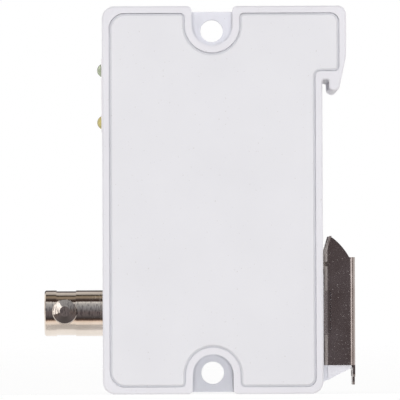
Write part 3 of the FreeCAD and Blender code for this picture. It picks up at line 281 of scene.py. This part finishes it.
def pitted_steel(name):
    """Plated spring sheet: satin, with fine pits and bright specks, and a painted sheen on its lips that
    stands in for their reflection of the lit housing wall.
    """
    finish = Finish(name, metallic=1.0)
    stains = finish.span(finish.noise(5 * MM, 4.0), 0.0, 1.0)
    body = finish.blend(stains, (0.50, 0.445, 0.43), (0.375, 0.315, 0.295))
    # Painted reflection: the lips are painted pale for the lit housing wall that they mirror.
    lip_sheen = finish.span(finish.axis("X"), 1.0, 0.0, *PAINTED_LIP_SHEEN)
    body = finish.blend(lip_sheen, body, (0.92, 0.87, 0.82))
    specks = finish.span(finish.noise(0.3 * MM, 1.0), 0.0, 1.0, 0.7, 0.76)
    finish.colour(finish.blend(specks, body, (0.86, 0.83, 0.80)))
    grain = finish.noise(0.22 * MM, 3.0)
    finish.roughness(finish.span(grain, 0.18, 0.30))
    finish.relief(grain, 0.007 * MM, 0.6)
    finish.relief(specks, 0.012 * MM, 0.8)
    return finish.material


def dark_plastic(name, pale, deep):
    """Moulded dark plastic or a pressed package, with a dull grain."""
    finish = Finish(name)
    clouds = finish.span(finish.noise(2 * MM, 3.0), 0.0, 1.0)
    finish.colour(finish.blend(clouds, pale, deep))
    grain = finish.noise(0.12 * MM, 3.0)
    finish.roughness(finish.span(grain, 0.40, 0.62))
    finish.relief(grain, 0.010 * MM, 0.5)
    return finish.material


def solder_mask(name):
    """Green mask with the paler lines of the tracks under it."""
    finish = Finish(name, coat=0.3)
    tracks = finish.nodes.new("ShaderNodeTexWave")
    tracks.wave_type = "BANDS"
    tracks.bands_direction = "Z"
    tracks.inputs["Scale"].default_value = 0.25 / MM
    tracks.inputs["Distortion"].default_value = 3.0
    finish.links.new(finish.place, tracks.inputs["Vector"])
    lines = finish.span(tracks.outputs["Fac"], 0.0, 1.0, 0.6, 0.7)
    finish.colour(finish.blend(lines, (0.012, 0.13, 0.045), (0.03, 0.24, 0.08)))
    grain = finish.noise(0.5 * MM, 2.0)
    finish.roughness(finish.span(grain, 0.22, 0.36))
    finish.relief(lines, 0.02 * MM, 0.6)
    return finish.material


def lamp_lens(name, pale, deep):
    """Clear tinted epoxy, a little cloudy inside."""
    finish = Finish(name)
    finish.shader.inputs["Transmission Weight"].default_value = 0.55
    finish.shader.inputs["IOR"].default_value = 1.5
    clouds = finish.span(finish.noise(1.2 * MM, 2.0), 0.0, 1.0)
    finish.colour(finish.blend(clouds, pale, deep))
    ripples = finish.noise(0.4 * MM, 2.0)
    finish.roughness(finish.span(ripples, 0.05, 0.14))
    finish.relief(ripples, 0.001 * MM, 0.3)
    return finish.material


def film(name):
    """Satin printed film, faintly mottled."""
    finish = Finish(name, coat=0.2)
    clouds = finish.span(finish.noise(6 * MM, 3.0), 0.0, 1.0)
    finish.colour(finish.blend(clouds, (0.84, 0.83, 0.845), (0.78, 0.775, 0.79)))
    grain = finish.noise(0.2 * MM, 2.0)
    finish.roughness(finish.span(grain, 0.28, 0.40))
    finish.relief(grain, 0.004 * MM, 0.4)
    return finish.material


FINISHES = {
    "housing_plastic": moulded_white("housing_plastic", (0.785, 0.79, 0.835), (0.755, 0.76, 0.805)),
    "cover_plastic": moulded_white("cover_plastic", (0.775, 0.785, 0.82), (0.75, 0.76, 0.795)),
    "overlay_film": film("overlay_film"),
    "circuit_board": solder_mask("circuit_board"),
    "zinc_screw": plated_metal("zinc_screw", (0.66, 0.67, 0.69), (0.5, 0.5, 0.51), 0.25, 0.4),
    "nickel_plate": turned_nickel("nickel_plate"),
    "white_liner": moulded_white("white_liner", (0.83, 0.83, 0.81), (0.79, 0.79, 0.77)),
    "gold_contact": plated_metal("gold_contact", (0.83, 0.60, 0.24), (0.72, 0.48, 0.17), 0.15, 0.3),
    "black_plastic": dark_plastic("black_plastic", (0.022, 0.022, 0.024), (0.012, 0.012, 0.013)),
    "tinned_metal": plated_metal(
        "tinned_metal", (0.74, 0.74, 0.72), (0.6, 0.6, 0.59), 0.2, 0.36, 0.3, 0.006, ALONG_LEADS
    ),
    "shield_steel": plated_metal("shield_steel", (0.70, 0.68, 0.64), (0.58, 0.56, 0.53), 0.18, 0.34),
    "green_lens": lamp_lens("green_lens", (0.72, 0.79, 0.62), (0.64, 0.72, 0.54)),
    "yellow_lens": lamp_lens("yellow_lens", (0.96, 0.87, 0.40), (0.91, 0.81, 0.33)),
    "chip_plastic": dark_plastic("chip_plastic", (0.030, 0.030, 0.033), (0.017, 0.017, 0.019)),
    "crystal_can": plated_metal("crystal_can", (0.72, 0.72, 0.72), (0.62, 0.62, 0.62), 0.2, 0.34),
    "capacitor_can": plated_metal("capacitor_can", (0.78, 0.78, 0.79), (0.68, 0.68, 0.70), 0.24, 0.4),
    "ferrite": dark_plastic("ferrite", (0.10, 0.10, 0.10), (0.06, 0.06, 0.06)),
    "clip_steel": pitted_steel("clip_steel"),
    "spring_steel": plated_metal("spring_steel", (0.60, 0.60, 0.60), (0.45, 0.44, 0.43), 0.2, 0.38),
}


def paint_nodes():
    """Gives every node of the frame the finish that its material slot in the record names."""
    for part in frame["record"]["subparts"]:
        node = frame["nodes"][part["node"]]
        finish = FINISHES[part["material_slot"]]
        for slot in node.material_slots:
            slot.material = finish


def new_stage(name, mesh):
    """Adds a mesh that belongs to the studio and not to the part."""
    stage = bpy.data.objects.new(name, mesh)
    bpy.context.scene.collection.objects.link(stage)
    return stage


def floor_material():
    """A pale floor that fades into the white behind it, soon in front of the part and slowly elsewhere."""
    material = bpy.data.materials.new("floor_paper")
    material.use_nodes = True
    nodes = material.node_tree.nodes
    links = material.node_tree.links
    paper = nodes["Principled BSDF"]
    paper.inputs["Roughness"].default_value = FLOOR_ROUGHNESS
    paper.inputs["Specular IOR Level"].default_value = FLOOR_GLOSS
    paper.inputs["Base Color"].default_value = (*FLOOR_COLOUR, 1.0)
    place = nodes.new("ShaderNodeTexCoord").outputs["Object"]
    along = nodes.new("ShaderNodeSeparateXYZ")
    links.new(place, along.inputs["Vector"])
    distance = nodes.new("ShaderNodeVectorMath")
    distance.operation = "LENGTH"
    links.new(place, distance.inputs[0])
    front = ranged(nodes, links, along.outputs["Y"], FRONT_FADE)
    rear = ranged(nodes, links, distance.outputs["Value"], REAR_FADE, (1.0, 0.0))
    rays = nodes.new("ShaderNodeLightPath")
    mirrored = ranged(nodes, links, along.outputs["Y"], MIRROR_FADE)
    mirrored = joined(nodes, links, "MULTIPLY", mirrored, rays.outputs["Is Glossy Ray"])
    seen = joined(nodes, links, "MAXIMUM", mirrored, rays.outputs["Is Camera Ray"])
    glow = nodes.new("ShaderNodeEmission")
    lit = nodes.new("ShaderNodeMixShader")
    links.new(joined(nodes, links, "MULTIPLY", seen, FLOOR_GLOW), lit.inputs["Fac"])
    links.new(paper.outputs["BSDF"], lit.inputs[1])
    links.new(glow.outputs["Emission"], lit.inputs[2])
    clear = nodes.new("ShaderNodeBsdfTransparent")
    shown = nodes.new("ShaderNodeMixShader")
    links.new(joined(nodes, links, "MULTIPLY", front, rear), shown.inputs["Fac"])
    links.new(clear.outputs["BSDF"], shown.inputs[1])
    links.new(lit.outputs["Shader"], shown.inputs[2])
    links.new(shown.outputs["Shader"], nodes["Material Output"].inputs["Surface"])
    return material


def make_floor():
    """A pale floor that the part stands on."""
    height = cad_box[0][2]
    corners = [
        (-FLOOR_REACH, -FLOOR_REACH, height),
        (FLOOR_REACH, -FLOOR_REACH, height),
        (FLOOR_REACH, FLOOR_REACH, height),
        (-FLOOR_REACH, FLOOR_REACH, height),
    ]
    mesh = bpy.data.meshes.new("floor")
    mesh.from_pydata(corners, [], [(0, 1, 2, 3)])
    mesh.materials.append(floor_material())
    new_stage("floor", mesh)


def make_world():
    """A room of pale banks and dark gaps for metal to mirror, plain white where the camera looks."""
    world = bpy.data.worlds.new("studio")
    bpy.context.scene.world = world
    world.use_nodes = True
    nodes = world.node_tree.nodes
    links = world.node_tree.links
    direction = nodes.new("ShaderNodeTexCoord")
    parts = nodes.new("ShaderNodeSeparateXYZ")
    links.new(direction.outputs["Generated"], parts.inputs["Vector"])
    forward = joined(nodes, links, "MULTIPLY", parts.outputs["Y"], -1.0)
    climb = joined(nodes, links, "ARCTAN2", parts.outputs["Z"], forward)
    turn = nodes.new("ShaderNodeMapRange")
    turn.inputs["From Min"].default_value = -math.pi
    turn.inputs["From Max"].default_value = math.pi
    links.new(climb, turn.inputs["Value"])
    room = nodes.new("ShaderNodeValToRGB")
    stops = room.color_ramp.elements
    for stop, (degrees, colour) in zip((stops[0], stops[1]), (ROOM_BANDS[0], ROOM_BANDS[-1])):
        stop.position = (degrees + 180) / 360
        stop.color = (*colour, 1.0)
    for degrees, colour in ROOM_BANDS[1:-1]:
        stop = stops.new((degrees + 180) / 360)
        stop.color = (*colour, 1.0)
    links.new(turn.outputs["Result"], room.inputs["Fac"])
    aside = joined(nodes, links, "ABSOLUTE", parts.outputs["X"], 0.0)
    wall = ranged(nodes, links, aside, WALL_START)
    side = mixed(nodes, links, ranged(nodes, links, parts.outputs["Y"], WALL_TURN), WALL_NEAR, WALL_FAR)
    around = mixed(nodes, links, wall, room.outputs["Color"], side)
    rays = nodes.new("ShaderNodeLightPath")
    seen = joined(nodes, links, "MAXIMUM", rays.outputs["Is Camera Ray"], rays.outputs["Is Transmission Ray"])
    shown = mixed(nodes, links, seen, around, WHITE)
    links.new(shown, nodes["Background"].inputs["Color"])


def make_lamp(name, place, size, power):
    """A soft box of light that the camera doesn't see, aimed at the part."""
    light = bpy.data.lights.new(name, "AREA")
    light.shape = "RECTANGLE"
    light.size, light.size_y = size
    light.energy = power
    lamp = bpy.data.objects.new(name, light)
    lamp.location = place
    aim = Vector(LAMP_TARGET) - Vector(place)
    lamp.rotation_euler = aim.to_track_quat("-Z", "Y").to_euler()
    lamp.visible_camera = False
    bpy.context.scene.collection.objects.link(lamp)
    return lamp


def make_lights():
    """A key, a window and a strip that metal mirrors, and soft boxes all round that it doesn't."""
    for lamp in MIRRORED_LAMPS:
        make_lamp(*lamp)
    for lamp in SOFT_LAMPS:
        make_lamp(*lamp).visible_glossy = False


def make_camera():
    """The photograph's view: level with the part, a metre in front of its covered side."""
    data = bpy.data.cameras.new("camera")
    data.sensor_width = CAMERA_SENSOR
    data.lens = CAMERA_LENS
    data.clip_start, data.clip_end = CAMERA_RANGE
    camera = bpy.data.objects.new("camera", data)
    aim = Vector(CAMERA_TARGET) - Vector(CAMERA_PLACE)
    turn = aim.to_track_quat("-Z", "Y").to_matrix().to_4x4() @ Matrix.Rotation(CAMERA_ROLL, 4, "Z")
    camera.matrix_world = Matrix.Translation(CAMERA_PLACE) @ turn
    bpy.context.scene.collection.objects.link(camera)
    bpy.context.scene.camera = camera


paint_nodes()
make_floor()
make_world()
make_lights()
make_camera()
bpy.context.scene.view_settings.view_transform = "Standard"
